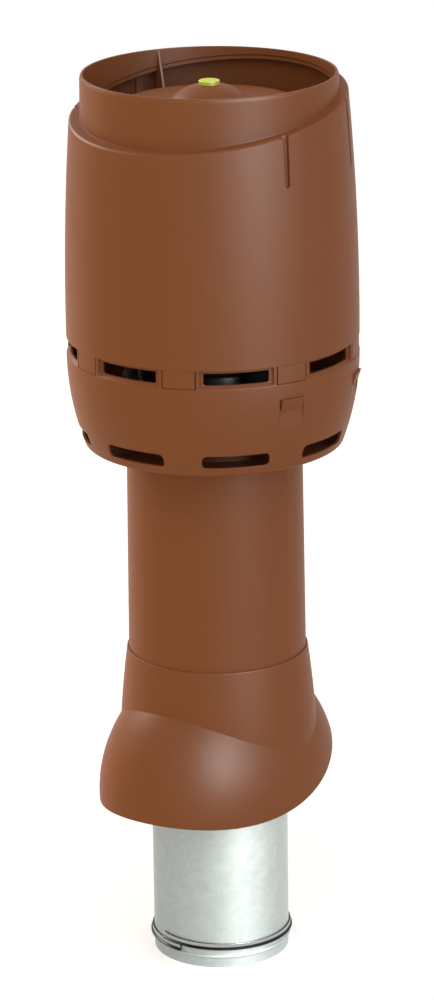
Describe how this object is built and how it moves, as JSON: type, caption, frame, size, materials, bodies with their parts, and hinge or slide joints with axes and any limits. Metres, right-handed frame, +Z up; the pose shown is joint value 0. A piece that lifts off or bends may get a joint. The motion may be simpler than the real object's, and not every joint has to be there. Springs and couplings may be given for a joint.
{
  "type": "roof vent",
  "caption": "Insulated roof vent: steel exhaust duct in a plastic pipe, vented cowl with rain deflector on top, and a flared skirt that sits on a pitched roof's pass-through",
  "frame": {"origin": "centre of the duct's bottom end, where the vent stands upright on a floor", "axes": "+Z up along the duct, -Y towards the roof's downhill side, +X to the right seen from downhill"},
  "size_m": [0.2608, 0.2608, 0.8235],
  "materials": {
    "brick_plastic": "satin brick-brown polypropylene with a fine mould grain",
    "galvanised_steel": "galvanised sheet with faint spangle",
    "strap_steel": "bright steel strap",
    "screw_steel": "zinc-plated screws",
    "seal_rubber": "matt black sealing rubber",
    "black_plastic": "black moulded plastic",
    "insulation_foam": "fused bead foam",
    "yellow_plastic": "bright yellow-green plug"
  },
  "bodies": {
    "root": {"steel_duct": "galvanised_steel", "lip_seal": "seal_rubber", "seal_strap": "strap_steel", "outer_pipe": "brick_plastic", "insulation_sleeve": "insulation_foam", "roof_skirt": "brick_plastic", "hood_base": "brick_plastic", "pipe_screws": "screw_steel", "outlet_nozzle": "black_plastic", "hood_shell": "brick_plastic", "deflector_dish": "brick_plastic", "dish_screws": "screw_steel", "dome_plug": "yellow_plastic"}
  },
  "joints": []
}
